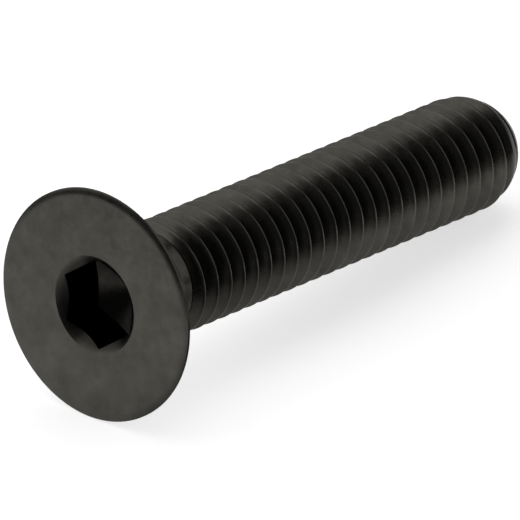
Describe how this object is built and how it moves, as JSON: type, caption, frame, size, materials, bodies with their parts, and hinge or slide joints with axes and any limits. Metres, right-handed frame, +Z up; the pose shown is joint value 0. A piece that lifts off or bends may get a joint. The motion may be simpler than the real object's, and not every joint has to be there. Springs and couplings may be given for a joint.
{
  "type": "countersunk socket screw",
  "caption": "Countersunk machine screw with a hexagon socket in its flat head, a cone under the head, a short plain neck, a long threaded shank and a rounded point.",
  "frame": {"origin": "on the table, under the middle of the lying screw's bounding box", "axes": "+X runs from the head towards the point along the ground, +Z is up; the screw's own axis dips from the head to the point by 6.1 degrees in the XZ plane, because it lies on the rim of its head and the end of its thread"},
  "size_m": [0.0306, 0.0118, 0.0117],
  "materials": {
    "black_oxide_steel": "blackened steel, lightly oiled, half matt with a faint grain"
  },
  "bodies": {
    "root": {"countersunk_screw": "black_oxide_steel"}
  },
  "joints": []
}
